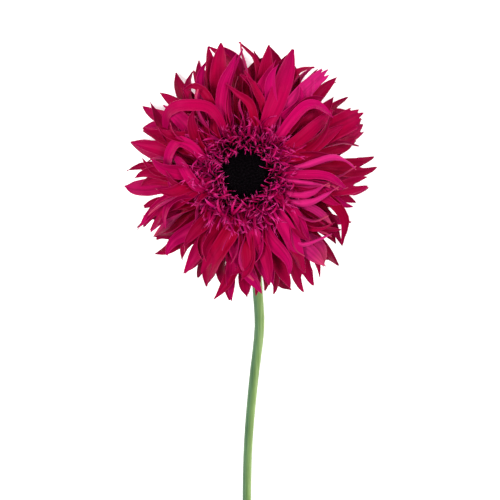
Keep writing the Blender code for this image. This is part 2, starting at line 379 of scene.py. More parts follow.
def bractMaterial():
    # involucre bract: matt green leaf with a purple-brown point and silky down
    mat = blankMaterial("gerbera bract leaf")
    uv = addNode(mat, "UVMap", uv_map="UVMap")
    along = addNode(mat, "SeparateXYZ", {"Vector": uv}).outputs["X"]
    body = addNode(mat, "ValToRGB", {"Fac": along},
                   [(0.0, "#55703a"), (0.7, "#6d8a48"), (0.93, "#5d6a3c"), (1.0, "#5a3038")])
    place = addNode(mat, "TexCoord").outputs["Object"]
    grain = addNode(mat, "TexNoise", {"Vector": place, "Scale": 700.0, "Detail": 3.0})
    tone = addNode(mat, "ValToRGB", {"Fac": grain}, [(0.35, "#9a9a86"), (0.65, "#ffffff")])
    body = addNode(mat, "MixRGB", {"Fac": 0.5, "Color1": body, "Color2": tone},
                   blend_type="MULTIPLY")
    return finishMaterial(mat, addNode(mat, "BsdfPrincipled", {
        "Base Color": body, "Roughness": 0.62, "IOR": 1.42,
        "Sheen Weight": 0.5, "Sheen Roughness": 0.5, "Sheen Tint": "#e8f0d0",
    }))


petalUpper = petalMaterial("gerbera ray upper side", False)
petalUnder = petalMaterial("gerbera ray under side", True)
frillTissue = frillMaterial()
frillShadeSheet = frillShadeSheetMaterial()
eyeBuds = eyeMaterial()
scapeSkin = stemMaterial()
cutPith = pithMaterial()
bractLeaf = bractMaterial()
print("materials made")


blade = {
    "length": 50.0,
    "width": 7.0,
    "cutsAlong": 16,
    "cutsAcross": 8,
    "thickness": 0.22,
    # rows across the strap: how far each lifts to make the gutter and its ribs
    "gutter": (1.30, 0.66, 0.38, 0.0, 0.20, 0.0, 0.38, 0.66, 1.30),
    "clawWidth": 0.27,   # share of the width at the start
    "fullAt": 0.52,      # share of the length where the strap has its whole width
    "closesFrom": 0.55,  # and where it starts to close again
    "teethFrom": 10,     # the last column that the teeth leave alone
    "wider": 1.12,       # shown wider than listed, as the gutter takes some of the width
    "rippleSize": 9.0,
    "ripple": 1.6,       # height
}

# tip kinds: width left at the end, how bluntly it closes, and how far each row's end is pulled back
tips = {
    "point": (0.03, 2.7, (0, 0, 0, 0, 0, 0, 0, 0, 0)),
    "blunt": (0.10, 4.5, (-1.5, -0.6, -0.2, 0, 0, 0, -0.2, -0.6, -1.5)),
    "twoTeeth": (1.15, 3.0, (-10, -4, 0, -5, -11, -5.5, 0.6, -3, -9)),
    "threeTeeth": (0.78, 3.5, (-7, 0, -5.4, -3.6, 0.8, -3.8, -6, -1, -8)),
    "fiveTeeth": (0.92, 4.0, (-6, -9.5, -1.5, -6.5, 1.2, -6.0, -0.5, -8, -5)),
}


def bladeTemplate(kind):
    # a flat strap is ribbed row by row, its end is toothed, and it is narrowed column by column
    endWidth, closing, pulledBack = tips[kind]
    columns, plain, start = blade["cutsAlong"], blade["teethFrom"], blade["closesFrom"]
    length, width = blade["length"] * mm, blade["width"] * mm
    colStep, rowStep = length / columns, width / blade["cutsAcross"]
    strap = flatStrap("blade " + kind, columns, blade["cutsAcross"], length, width)
    for row, (lift, back) in enumerate(zip(blade["gutter"], pulledBack)):
        y = -width / 2 + row * rowStep
        moved(strap, lambda v: abs(v.co.y - y) < rowStep / 4, (0, 0, lift * mm))
        if back:
            for col in range(plain + 1, columns + 1):
                pull = back * mm * ((col - plain) / (columns - plain)) ** 1.6
                moved(strap, lambda v: v.index == row * (columns + 1) + col, (pull, 0, 0))
    for col in range(columns + 1):
        share = col / columns
        keep = blade["clawWidth"] + (1 - blade["clawWidth"]) * smoothStep(share / blade["fullAt"])
        if share >= start:
            keep = endWidth + (1 - endWidth) * (1 - ((share - start) / (1 - start)) ** closing)
        scaled(strap, lambda v: v.index % (columns + 1) == col, (1, keep, max(keep, 0.3)))
    bpy.ops.object.mode_set(mode="OBJECT")
    return strap


bladeKinds = {kind: bladeTemplate(kind) for kind in tips}
print("ray blades modelled:", len(bladeKinds))


# whorls from the back of the head to the front; heights at the claw, half way and at the tip,
# and how far the rays stray from their lines
whorls = {
    "outer": {"foot": 11.2, "heights": (-0.6, -2.6, -17.0), "aboveFloor": 0.4, "turn": -25.0, "stray": 0.8},
    "middle": {"foot": 9.8, "heights": (1.2, 2.0, -8.5), "aboveFloor": 4.2, "turn": 3.0, "stray": 1.0},
    "upper": {"foot": 8.4, "heights": (3.0, 7.2, 1.0), "aboveFloor": 8.4, "turn": 10.0, "stray": 1.5},
    "front": {"foot": 7.0, "heights": (4.8, 12.0, 11.0), "aboveFloor": 14.0, "turn": 20.0, "stray": 2.0},
}

# each ray: tip's turn, reach, width, tip kind, sideways sway, lift of the tip, roll at the tip,
# gutter depth
rays = {
    "outer": [
        (-16, 53, 4.5, "point", 2, 0, 15, 1.2), (-3, 59, 8, "twoTeeth", -4, 1, -8, 0.9),
        (27, 63, 10.5, "fiveTeeth", -2, 1, 6, 0.7), (46, 62, 6.5, "point", 3, 0, 22, 1.0),
        (79, 62, 7.2, "point", -1, 1, 0, 0.8), (100, 62, 8.2, "point", -2, 2, -12, 0.7),
        (124, 59, 7.5, "point", 9, 2, 20, 0.8), (146, 59, 6.5, "point", -5, 1, -18, 1.0),
        (164, 57, 8, "point", 5, 0, 14, 0.8), (185, 58, 7.6, "blunt", -3, 0, 0, 0.8),
        (209, 54, 6.5, "twoTeeth", -6, 0, -25, 1.2), (226, 51, 6, "point", 4, 0, 25, 1.0),
        (248, 55, 7.6, "twoTeeth", -3, 0, -10, 0.8), (292, 59, 6.8, "point", -2, 0, 8, 0.9),
        (316, 62, 6.5, "point", 4, 0, -14, 1.0),
    ],
    "middle": [
        (6, 63, 7.6, "twoTeeth", 2, 1, 10, 0.9), (37, 61, 5.2, "point", -5, 1, -28, 1.3),
        (58, 60, 6, "point", 7, 2, 60, 1.4), (86, 59, 5, "point", 3, 1, -30, 1.2),
        (106, 63, 6.2, "point", -3, 2, 35, 1.0), (136, 56, 6, "point", 6, 1, -25, 1.0),
        (155, 53, 6.5, "point", -7, 2, 30, 1.1), (178, 56, 4.2, "point", 5, 1, -20, 1.5),
        (206, 57, 4.4, "point", -12, 0, 10, 1.2), (221, 57, 6.6, "point", 5, 0, -15, 0.8),
        (238, 55, 6.2, "point", -4, 1, 12, 0.9), (263, 60, 5.2, "blunt", 2, 1, -8, 1.2),
        (281, 58, 6.2, "twoTeeth", -3, 1, 14, 1.0), (299, 63, 8.6, "twoTeeth", 2, 1, 0, 0.7),
        (324, 57, 6.2, "point", 14, 0, 28, 1.1),
    ],
    "upper": [
        (14, 55, 4.2, "point", 7, 2, -40, 1.6), (53, 62, 7.4, "threeTeeth", 3, 2, 8, 0.9),
        (69, 61, 7.6, "point", 2, 2, -8, 0.8), (92, 62, 4.2, "point", -8, 3, 70, 1.5),
        (108, 57, 4.4, "point", 3, 2, 35, 1.5), (126, 50, 6.5, "point", -14, 3, -45, 1.0),
        (143, 56, 5.6, "point", 4, 1, 25, 1.2), (171, 49, 4.0, "point", -9, 3, -30, 1.6),
        (214, 52, 6.6, "blunt", 6, 2, -55, 1.0), (234, 50, 5.6, "point", -4, 2, 24, 1.2),
        (256, 61, 6.0, "point", 3, 1, 18, 1.0), (271, 58, 6.0, "blunt", -3, 2, -14, 1.0),
        (306, 60, 4.2, "point", -5, 1, 35, 1.5), (343, 53, 5.2, "point", 6, 2, -22, 1.2),
    ],
    "front": [
        (35, 48, 5.2, "point", -12, 5, 45, 1.4), (73, 53, 5.4, "point", 3, 3, -25, 1.1),
        (93, 46, 4.8, "point", -4, 4, 30, 1.3), (118, 47, 5.8, "point", 6, 2, -28, 1.1),
        (140, 50, 7.0, "blunt", -16, 0, 12, 0.7), (171, 44, 6.0, "point", 8, 4, -35, 1.2),
        (215, 45, 6.4, "point", -8, 3, 65, 1.0), (246, 45, 7.2, "blunt", 5, 3, -20, 0.8),
        (282, 53, 6.4, "point", -2, 1, 8, 0.9), (301, 54, 7.0, "point", 3, 2, -6, 0.8),
        (342, 47, 5.4, "point", 8, 3, 30, 1.3),
    ],
}

# rays with no solid of their own, as a real head has more than the frame carries:
# whorl, base turn, then as above
looseRays = [
    ("front", 350, 351, 46, 6.2, "point", -5, 5, 12, 0.8),
    ("front", 328, 314, 43, 4.8, "point", -3, 4, -20, 1.0),
    ("front", -28, -8, 40, 3.6, "point", 6, 6, 80, 1.8),
    ("front", -38, -10, 44, 3.8, "point", 8, 4, 75, 1.8),
    ("upper", -62, -36, 50, 4.2, "point", 10, 6, 80, 1.7),
    ("upper", -46, -50, 57, 6.8, "blunt", 5, 2, 130, 0.8),
    ("upper", 0, 4, 52, 4.0, "point", -9, 6, 60, 1.8),
    ("upper", 42, 41, 55, 7.0, "point", 2, 3, -14, 0.9),
    ("front", 160, 129, 38, 5.4, "point", 6, 5, 40, 1.2),
    ("front", 172, 146, 42, 5.0, "point", -8, 6, -40, 1.3),
    ("front", 192, 190, 42, 6.2, "point", -6, 5, 20, 1.0),
    ("upper", 200, 198, 50, 6.0, "point", 6, 2, 30, 1.1),
    ("upper", 150, 157, 52, 6.4, "point", -8, 2, -20, 1.0),
    ("front", 232, 230, 44, 5.8, "point", 5, 4, -35, 1.2),
    ("front", 265, 262, 48, 5.8, "point", -4, 2, 18, 1.0),
    ("upper", 280, 284, 54, 5.4, "point", 3, 2, -20, 1.1),
    ("upper", 326, 330, 52, 5.6, "point", -6, 2, 22, 1.1),
    ("front", 65, 58, 48, 5.4, "point", -5, 4, 30, 1.1),
    ("front", 104, 101, 43, 4.6, "point", 7, 5, -40, 1.3),
    ("upper", 76, 80, 56, 5.8, "point", 4, 2, 20, 1.0),
    ("upper", 122, 117, 54, 6.2, "point", 5, 2, -22, 1.0),
    ("middle", 15, 20, 56, 6.4, "threeTeeth", 3, 1, 12, 0.9),
    ("middle", 255, 251, 56, 6.0, "point", -3, 1, 20, 1.0),
    ("middle", 63, 66, 57, 6.2, "point", -3, 1, -18, 1.0),
    ("middle", 111, 114, 56, 6.0, "twoTeeth", 3, 1, 14, 1.0),
    ("middle", 327, 336, 55, 6.0, "point", -4, 1, 16, 1.0),
    ("front", 272, 268, 50, 6.4, "point", 4, 2, -12, 0.9),
    ("front", 290, 293, 52, 5.6, "point", -4, 2, 20, 1.1),
    ("upper", 262, 264, 57, 6.0, "point", -4, 1, 22, 0.9),
    ("middle", 272, 273, 58, 5.6, "twoTeeth", 3, 1, -15, 1.0),
    ("upper", 226, 226, 53, 6.2, "point", 5, 2, 25, 1.0),
    ("upper", 184, 182, 52, 6.4, "point", -6, 1, -20, 0.9),
    ("front", 10, 12, 46, 5.6, "point", 5, 4, 35, 1.2),
    ("upper", 25, 29, 57, 7.0, "threeTeeth", -3, 2, 14, 0.9),
    ("front", 48, 44, 51, 6.4, "point", 4, 3, -16, 0.9),
    ("front", 132, 152, 46, 5.2, "point", 8, 5, 40, 1.2),
    ("middle", 98, 98, 57, 6.8, "point", 2, 0, 8, 0.9),
    ("middle", 76, 77, 56, 6.6, "point", -2, 0, -10, 0.9),
    ("middle", 300, 298, 56, 7.0, "point", 2, 0, 8, 0.9),
    ("upper", 296, 303, 52, 6.0, "point", -3, 1, 15, 1.0),
    ("middle", 210, 209, 50, 6.4, "point", -3, 0, 10, 0.9),
    ("middle", 200, 202, 52, 5.6, "point", 3, 0, -20, 1.0),
    ("outer", 113, 112, 59, 6.4, "point", 2, 0, 15, 0.9),
    ("middle", 216, 216, 52, 6.8, "point", 0, 0, 5, 1.0),
    ("middle", 184, 186, 50, 6.0, "point", 3, 0, -15, 0.9),
    ("middle", 32, 31, 58, 6.4, "point", 3, 0, -15, 0.9),
    ("middle", 345, 346, 54, 6.4, "point", 3, 0, 15, 0.9),
    ("middle", 321, 323, 54, 6.8, "point", 2, 0, 8, 0.9),
    ("middle", 312, 315, 57, 6.4, "point", -2, 0, -10, 0.9),
]

# thin rays that stand on edge among the broad ones
slivers = {"count": 46, "whorls": ("upper", "front"), "reach": (31, 50), "width": (2.2, 3.8), "roll": 85,
           "gutter": (1.3, 2.2), "swing": (-14, 14), "sway": (-9, 9), "lift": (-1, 4)}

# how far a ray strays from its line, times its whorl's "stray"
straying = {"sway": (-5, 5), "hook": (-4, 4), "roll": (-22, 22), "lift": (-1.0, 1.6)}

# petals that sprawl over their neighbours: points along the midrib, width, tip kind, roll at claw and tip,
# gutter depth (below nought arches it), tint from dark to pale, which carries painted light here: low tints
# are painted shade on strays that lie in shadow, tints near 1 a painted highlight on the arched ones
strays = [
    # upper left
    (((-6, 9, 3), (-12, 25, 7), (-15, 42, 7), (-17.5, 60, 4)), 6.4, "point", (0, 20), 0.9, 0.2),
    (((-5, 10, 4), (-9, 28, 9), (-12, 45, 9), (-11.3, 61.5, 5)), 8.2, "point", (0, -15), 0.8, 0.5),
    (((-6, 9, 5), (-9, 18, 13), (-12.5, 26, 17), (-17, 30.6, 18), (-25, 31.4, 18), (-32, 31, 16),
     (-36.5, 27, 10), (-37.5, 17, 3)), 5.0, "point", (0, 15), 0.7, 0.7),
    (((-6, 10, 4), (-12, 22, 10), (-15.5, 32, 15), (-19, 38, 15), (-24, 41, 13), (-29, 39, 10)),
     4.0, "point", (0, -20), 1.0, 0.35),
    (((-9, 5, 4), (-17, 9, 13), (-21.5, 15, 15), (-22.5, 27, 13)), 4.0, "point", (0, -60), 1.3, 0.3),
    (((-8, 6, 4), (-14, 11, 12), (-17.5, 18, 14), (-18.5, 30, 12)), 3.8, "point", (0, -50), 1.3, 0.2),
    (((-7, 8, 4), (-12, 14, 12), (-14, 21, 14), (-14.5, 33, 12)), 3.8, "point", (0, -50), 1.3, 0.1),
    (((-5, 9, 4), (-8, 16, 12), (-10, 24, 14), (-10.5, 35, 12)), 3.8, "point", (0, -40), 1.3, 0.15),
    (((-10, 2, 5), (-18, 6, 14), (-26, 13, 17), (-31, 14.5, 16), (-35, 9, 12), (-36, 1, 7),
     (-35, -7, 3)), 4.6, "point", (0, 40), 1.2, 0.85),
    (((-9, 3, 5), (-18, 9, 13), (-26, 16.5, 15), (-33.5, 14, 12), (-37.5, 7, 8)), 2.8, "point", (0, 60),
     1.6, 1.0),
    (((-10, 4, 3), (-22, 10, 9), (-34, 15, 9), (-48, 21.5, 5)), 6.4, "point", (0, 20), 0.9, 0.35),
    (((-10, 3, 3), (-22, 7, 8), (-36, 11, 8), (-53.5, 15.2, 4)), 6.2, "point", (0, -10), 1.0, 0.6),
    # left and lower left
    (((-9, -1, 4), (-17, -4, 13), (-22, -6, 16), (-26, -1, 16), (-30, 5, 14), (-34, 9, 10)),
     4.8, "point", (0, -20), 0.9, 0.8),
    (((-9, -2, 4), (-16, -5, 12), (-22, -7, 14), (-30, -12, 12), (-39, -17, 8), (-46, -25.5, 2)),
     5.6, "twoTeeth", (0, 10), 1.7, 0.6),
    (((-9, -4, 4), (-16, -8, 13), (-20, -12, 16), (-22, -19, 14), (-21, -30, 10)), 5.2, "point",
     (0, 125), 0.9, 0.6),
    (((-10, -3, 3), (-22, -6, 8), (-34, -10, 9), (-43, -17, 6), (-50.5, -26, 2)), 3.8, "point", (0, 20),
     1.2, 0.75),
    (((-9, -5, 3), (-19, -12, 8), (-31, -20, 9), (-43, -29.5, 4)), 6.4, "point", (0, 140), 0.7, 0.4),
    (((-7, -8, 4), (-14, -17, 13), (-18, -26, 13), (-19, -37, 8)), 4.0, "point", (0, 60), 1.4, 0.7),
    (((-8, -7, 4), (-16, -16, 12), (-23, -25, 11), (-29, -34, 6)), 4.4, "point", (0, -50), 1.3, 0.45),
    (((-5, -9, 4), (-13, -22, 10), (-20, -33, 9), (-28.5, -46.5, 4)), 6.2, "point", (0, 15), 0.9, 0.65),
    (((0, -11, 5), (-3, -19, 13), (-6, -26, 15), (-10, -33, 14), (-14, -39, 11), (-19, -49, 6)),
     7.4, "twoTeeth", (0, 25), 0.8, 0.45),
    # bottom
    (((-3, -10, 4), (-6, -24, 10), (-7, -42, 8), (-6.5, -59.5, 3)), 4.8, "point", (0, -20), 1.1, 0.7),
    (((-1, -11, 4), (-3, -22, 11), (-4.5, -32, 12), (0, -43, 10), (8, -56, 5)), 7.0, "point", (0, 25),
     0.8, 0.8),
    (((1, -11, 5), (2, -20, 13), (3.5, -29, 14), (6.5, -39, 11), (11, -52, 6)), 5.8, "point", (0, -15),
     0.9, 0.75),
    (((5, -10, 4), (9, -19, 11), (12.5, -30, 11), (16, -41, 9), (21.5, -54, 4)), 7.0, "point", (0, 10),
     0.8, 0.45),
    (((7, -8, 5), (12, -15, 12), (17, -22, 15), (22, -32, 14), (27.5, -46, 9)), 6.8, "point", (0, -20),
     0.8, 0.85),
    (((8, -6, 6), (14, -10, 13), (20.3, -15, 16), (25, -22, 16), (30, -31.5, 13)), 4.6, "point",
     (0, -20), 0.9, 0.75),
    # right
    (((10, -12, 3), (18, -24, 8), (26.5, -33, 10), (32, -38, 9.5), (38, -43.5, 7)), 6.2, "blunt",
     (180, 180), 0.6, 0.9),
    (((9, -12, 4), (17, -25, 10), (25.6, -32.8, 14), (29.2, -32.6, 15.5), (33.6, -31, 15.5),
     (37.5, -29.4, 14.5), (40.5, -28, 13)), 1.9, "point", (0, 0), -2.6, 1.0),
    (((10, -9, 4), (20, -20, 10), (30, -25, 12), (36, -25, 12), (42, -22.5, 10)), 3.2, "point", (0, 60),
     1.3, 0.5),
    (((10, -3, 3), (24, -7, 8), (36, -10, 10), (43, -15, 9), (47, -22, 6), (45.5, -33, 2)),
     4.8, "point", (0, 30), 1.0, 0.3),
    (((9, -7, 4), (19, -12, 11), (30, -15.5, 14), (35, -18.5, 13.5), (41, -24, 10)), 3.6, "point",
     (180, 180), 0.9, 0.9),
    (((8, -8, 5), (16, -12, 13), (24.1, -13.8, 17.4), (28, -13.9, 18.4), (32.2, -12.8, 18.8),
     (36.6, -10.5, 18.6), (40.2, -8.3, 18), (43.8, -6, 16.5)), 2.1, "point", (0, 0), -2.6, 1.0),
    (((8, -5, 5), (16, -8.2, 13), (23, -9.8, 17), (28.3, -9.8, 18.8), (31.9, -8.8, 19),
     (35.1, -6.6, 18.6), (39.2, -4.4, 17.5)), 2.6, "point", (0, 0), -2.4, 0.95),
    (((9, -1, 5), (17, -2.6, 13), (24.7, -4, 18), (30, -4.6, 19), (36, -5.6, 18.6), (39.5, -6.4, 17)),
     2.0, "point", (0, 0), -2.6, 1.0),
    (((10, 1, 5), (19, -0.6, 13.5), (28.5, -0.6, 18.5), (37.5, -1.3, 20.4), (42.5, -3.6, 19.5),
     (46.8, -7, 16)), 3.8, "point", (0, -15), 0.8, 0.8),
    (((10, -1, 3), (24, -4.5, 8), (38, -7, 9), (48, -6, 7), (58.5, -3, 3)), 6.2, "twoTeeth", (0, 8),
     0.8, 0.45),
    (((10, 5, 3), (24, 12, 6), (40, 20.5, 7), (57, 29.5, 4)), 9.5, "fiveTeeth", (0, 5), 0.6, 0.4),
    (((10, 2, 5), (20, 2.6, 13), (27.7, 3.6, 17), (34, 5.8, 18.4), (39.9, 7.5, 18.8), (45.2, 6.6, 18.2),
     (49, 4.3, 16.8), (51.6, 1.6, 15)), 2.1, "point", (0, 0), -2.4, 1.0),
    (((10, 4, 5), (18, 7, 13), (27, 10, 13), (37, 17, 10), (46, 23, 6)), 6.0, "point", (0, 10),
     0.9, 0.5),
    (((9, 6, 5), (17, 10, 13), (25, 15, 14), (33, 22, 12), (41, 30, 8)), 6.0, "point", (0, -15),
     0.9, 0.6),
    # upper right
    (((8, 8, 5), (15, 16, 14), (21, 23.5, 17), (28, 31, 18), (33, 31.8, 17), (37, 29.5, 15),
     (41, 26, 12)), 4.8, "point", (0, -30), 0.9, 0.85),
    (((11, 14, 5), (20, 26, 11), (28.5, 32, 15), (30.5, 36, 15), (32.2, 44, 14)), 2.2, "point", (0, 80),
     1.6, 1.0),
    (((8, 9, 4), (15, 21, 11), (22, 32, 13), (30, 41, 12), (39.5, 49.5, 8)), 7.0, "threeTeeth", (0, 10),
     0.8, 0.95),
    (((10, 9, 3), (22, 24, 7), (32, 35, 7), (43, 45.5, 4)), 6.2, "point", (0, 10), 0.9, 0.3),
    (((7, 9, 4), (14, 26, 8), (20, 40, 9), (25, 47.5, 9), (32.5, 50, 6)), 4.6, "point", (0, -40),
     1.2, 0.25),
    (((4, 10, 5), (9, 21, 13), (13, 30, 15), (17.5, 42, 12), (22.5, 58.5, 6)), 8.2, "point", (0, 12),
     0.8, 0.7),
    (((9, 10, 5), (10, 22, 12), (8, 32, 15), (4, 40, 15), (-0.2, 48, 13)), 3.6, "point", (0, 40),
     1.2, 0.5),
    (((2, 10, 5), (3.5, 22, 13), (5, 34, 14), (9, 43, 13), (14.5, 53, 10)), 4.2, "point", (0, -15),
     1.0, 0.7),
    (((6, 9, 5), (5, 20, 13), (4, 28, 17), (2, 33, 18), (-3.5, 37.5, 17), (-9, 42, 15)), 3.8, "point",
     (0, -40), 1.1, 0.5),
    (((3, 10, 4), (7, 28, 8), (9.5, 45, 8), (11.2, 60.5, 5)), 7.0, "point", (0, -10), 0.8, 0.35),
    (((3, 11, 4), (6, 28, 8), (6.5, 42, 8), (4, 54, 7), (-3, 62, 5)), 3.4, "point", (0, 50), 1.4, 0.4),
    (((-3, 10, 5), (-7, 24, 12), (-8.5, 38, 13), (-6, 48, 11), (-1, 58.5, 8)), 2.8, "point", (0, 50),
     1.4, 0.8),
    (((-6, 9, 5), (-10, 21, 13), (-11.5, 32, 15), (-10, 42, 14), (-4, 56, 10)), 4.8, "point", (0, 15),
     0.9, 0.8),
]


def strayPath(knots, rolls):
    # the smooth line through a stray's points, evenly stepped
    places = [Vector(knot) for knot in knots]
    marks = [0.0]
    for before, after in zip(places, places[1:]):
        marks.append(marks[-1] + (after - before).length)
    steps = 20
    path = []
    for i in range(steps + 1):
        at = marks[-1] * i / steps
        place = [curveThrough([(mark, p[axis]) for mark, p in zip(marks, places)], at)
                 for axis in range(3)]
        path.append((Vector(place), rolls[0] + (rolls[1] - rolls[0]) * smoothStep(i / steps)))
    return path


def rayHeight(heights, share):
    # the parabola through the heights at the claw, half way and at the tip
    claw, middle, tip = heights
    rise = 4 * middle - 3 * claw - tip
    return claw + rise * share + (2 * claw + 2 * tip - 4 * middle) * share**2


def lowestHeight(y, aboveFloor):
    # the head-frame height of a point this far above the surface
    lean = math.radians(head["lean"])
    return (aboveFloor - headMatrix.translation.z / mm + y * math.sin(lean)) / math.cos(lean)


def rayPath(whorl, baseTurn, ray):
    # points and rolls along a ray's midrib, from its claw to its tip
    tipTurn, reach, _, _, sway, lift, roll = ray[:7]
    tipTurn = baseTurn + (tipTurn - baseTurn + 180) % 360 - 180
    sway += whorl["stray"] * chance.uniform(*straying["sway"])
    hook = whorl["stray"] * chance.uniform(*straying["hook"])
    roll += whorl["stray"] * chance.uniform(*straying["roll"])
    lift += whorl["stray"] * chance.uniform(*straying["lift"])
    stops = 14
    path = []
    for i in range(stops + 1):
        share = i / stops
        turn = baseTurn + (tipTurn - baseTurn) * share**1.25 + sway * math.sin(math.pi * share) * 0.7
        turn += hook * math.sin(math.pi * share**2.6)
        out = whorl["foot"] + (reach - whorl["foot"]) * share
        height = rayHeight(whorl["heights"], share) + lift * share**3
        x, y = out * math.cos(math.radians(turn)), out * math.sin(math.radians(turn))
        # the outer part is eased up to its least height above the surface
        least = lowestHeight(y, whorl["aboveFloor"])
        lifted = (height + least + math.sqrt((height - least) ** 2 + 6.25)) / 2
        height += (lifted - height) * smoothStep((share - 0.35) / 0.3)
        path.append((Vector((x, y, height)), roll * smoothStep((share - 0.15) / 0.75)))
    return path


def pathLength(path):
    return sum((path[i + 1][0] - path[i][0]).length for i in range(len(path) - 1))


def polyLine(name, stations):
    # a curve object through (place, radius, tilt) stations
    line = bpy.data.curves.new(name, "CURVE")
    line.dimensions = "3D"
    spline = line.splines.new("POLY")
    spline.points.add(len(stations) - 1)
    for point, (place, radius, tilt) in zip(spline.points, stations):
        point.co = (*place, 1)
        point.radius = radius
        point.tilt = tilt
    made = bpy.data.objects.new(name, line)
    bpy.context.scene.collection.objects.link(made)
    return made


def bentAlong(piece, path):
    # a flat strap along +X is bent to the path; the tilt rolls it about its midrib
    guide = polyLine("guide", [(place * mm, 1, math.radians(roll)) for place, roll in path])
    guide.data.twist_mode = "Z_UP"
    modifierApplied(piece, "CURVE", object=guide, deform_axis="POS_X")
    bpy.data.objects.remove(guide)


ripple = bpy.data.textures.new("petal ripple", "CLOUDS")
ripple.noise_scale = blade["rippleSize"] * mm
ripple.noise_depth = 1


def tinted(piece, value):
    # how far this piece leans from dark red towards pale pink, for the material
    tint = piece.data.attributes.new("tint", "FLOAT", "POINT")
    tint.data.foreach_set("value", [value] * len(piece.data.vertices))


def rayFloret(name, path, width, kind, gutter, tint):
    petal = copyOf(bladeKinds[kind], name)
    wide = blade["wider"] * width / blade["width"]
    petal.data.transform(Matrix.Diagonal((pathLength(path) / blade["length"], wide, wide * gutter, 1)))
    modifierApplied(petal, "SUBSURF", levels=1, render_levels=1)
    bentAlong(petal, path)
    modifierApplied(petal, "DISPLACE", texture=ripple, texture_coords="LOCAL",
                    strength=blade["ripple"] * mm, mid_level=0.5)
    petal.data.materials.append(petalUpper)
    petal.data.materials.append(petalUnder)
    modifierApplied(petal, "SOLIDIFY", thickness=blade["thickness"] * mm, offset=0, material_offset=1)
    settle(petal, name, 60)
    tinted(petal, tint)
    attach(petal, "root")
    return petal


for whorlName, petals in rays.items():
    for i, ray in enumerate(petals):
        baseTurn = whorls[whorlName]["turn"] + 360 * i / len(petals)
        path = rayPath(whorls[whorlName], baseTurn, ray)
        petal = rayFloret(f"petal_{whorlName}_{i + 1:02d}", path, ray[2], ray[3], ray[7],
                          chance.uniform(0, 0.9))
        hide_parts(f"ray_{whorlName}_{i + 1:02d}")
for i, (whorlName, baseTurn, *ray) in enumerate(looseRays):
    path = rayPath(whorls[whorlName], baseTurn, ray)
    rayFloret(f"petal_loose_{i + 1:02d}", path, ray[2], ray[3], ray[7], chance.uniform(0, 0.85))
for i in range(slivers["count"]):
    baseTurn = 360 * (i + chance.uniform(-0.3, 0.3)) / slivers["count"]
    width = chance.uniform(*slivers["width"])
    ray = (baseTurn + chance.uniform(*slivers["swing"]), chance.uniform(*slivers["reach"]), width,
           "point", chance.uniform(*slivers["sway"]), chance.uniform(*slivers["lift"]),
           chance.choice((-1, 1)) * slivers["roll"])
    path = rayPath(whorls[chance.choice(slivers["whorls"])], baseTurn, ray)
    rayFloret(f"petal_sliver_{i + 1:02d}", path, width, "point", chance.uniform(*slivers["gutter"]),
              chance.uniform(0.0, 0.9))
for i, (knots, width, kind, rolls, gutter, tint) in enumerate(strays):
    rayFloret(f"petal_stray_{i + 1:02d}", strayPath(knots, rolls), width, kind, gutter, tint)
for template in bladeKinds.values():
    bpy.data.objects.remove(template)
print("ray florets placed")


frill = {
    "length": 10.0,
    "width": 0.85,
    "thickness": 0.09,
    # rows from the eye outwards: ring radius, height, how many, size, lean outwards at the foot, spread
    "rows": (
        (12.4, 12.0, 62, 0.54, -16, 50),
        (13.2, 11.8, 84, 0.66, 4, 70),
        (14.2, 11.8, 96, 0.78, 20, 70),
        (15.6, 12.0, 104, 0.86, 36, 64),
        (17.1, 12.4, 108, 0.92, 50, 56),
        (18.6, 12.9, 104, 0.96, 62, 48),
        (19.9, 13.4, 96, 1.05, 74, 40),
    ),
    "longFrom": 17.0,  # rows beyond this radius are longest low on the face,
    "longer": 0.35,    # by up to this share
    # the dark dish of painted shade under them: radius and height
    "bed": ((5.2, 6.4), (9.0, 8.6), (13.0, 10.6), (17.0, 12.0), (20.6, 13.2)),
    "bedThickness": 0.6,
    # curl and twist of each form
    "curls": ((60, 30), (-50, 80), (110, -60), (160, 40), (30, 180), (90, 120), (-90, -40), (200, 10),
              (20, -90)),
}


def frillTemplate(name, forked):
    # a short strap, hollowed along its middle and forked or pointed at its end
    length, width = frill["length"] * mm, frill["width"] * mm
    strap = flatStrap(name, 7, 2, length, width)
    moved(strap, lambda v: abs(v.co.y) > width / 4, (0, 0, 0.22 * mm))
    scaled(strap, lambda v: v.co.x < length * 0.1, (1, 0.5, 1))
    if forked:
        moved(strap, lambda v: v.co.x > length * 0.8 and abs(v.co.y) < width / 8, (-length * 0.2, 0, 0))
        scaled(strap, lambda v: v.co.x > length * 0.95, (1, 1.5, 1))
    else:
        scaled(strap, lambda v: v.co.x > length * 0.95, (1, 0.1, 1))
        scaled(strap, lambda v: v.co.x > length * 0.8, (1, 0.7, 1))
    bpy.ops.object.mode_set(mode="OBJECT")
    return strap


def frillVariant(template, number, curl, twist):
    # twisted and curled back, then given its thickness
    made = copyOf(template, f"frill variant {number}")
    modifierApplied(made, "SIMPLE_DEFORM", deform_method="TWIST", deform_axis="X",
                    angle=math.radians(twist))
    # a bend about Z works along X, so the strap lies on its side for it
    made.data.transform(Matrix.Rotation(math.pi / 2, 4, "X"))
    modifierApplied(made, "SIMPLE_DEFORM", deform_method="BEND", deform_axis="Z",
                    angle=math.radians(curl))
    made.data.transform(Matrix.Rotation(-math.pi / 2, 4, "X"))
    modifierApplied(made, "SOLIDIFY", thickness=frill["thickness"] * mm, offset=0)
    made.data.materials.append(frillTissue)
    return made


frillForms = [frillTemplate("forked lip", True), frillTemplate("single lip", False)]
frillKinds = [frillVariant(frillForms[i % 2], i, *curl) for i, curl in enumerate(frill["curls"])]


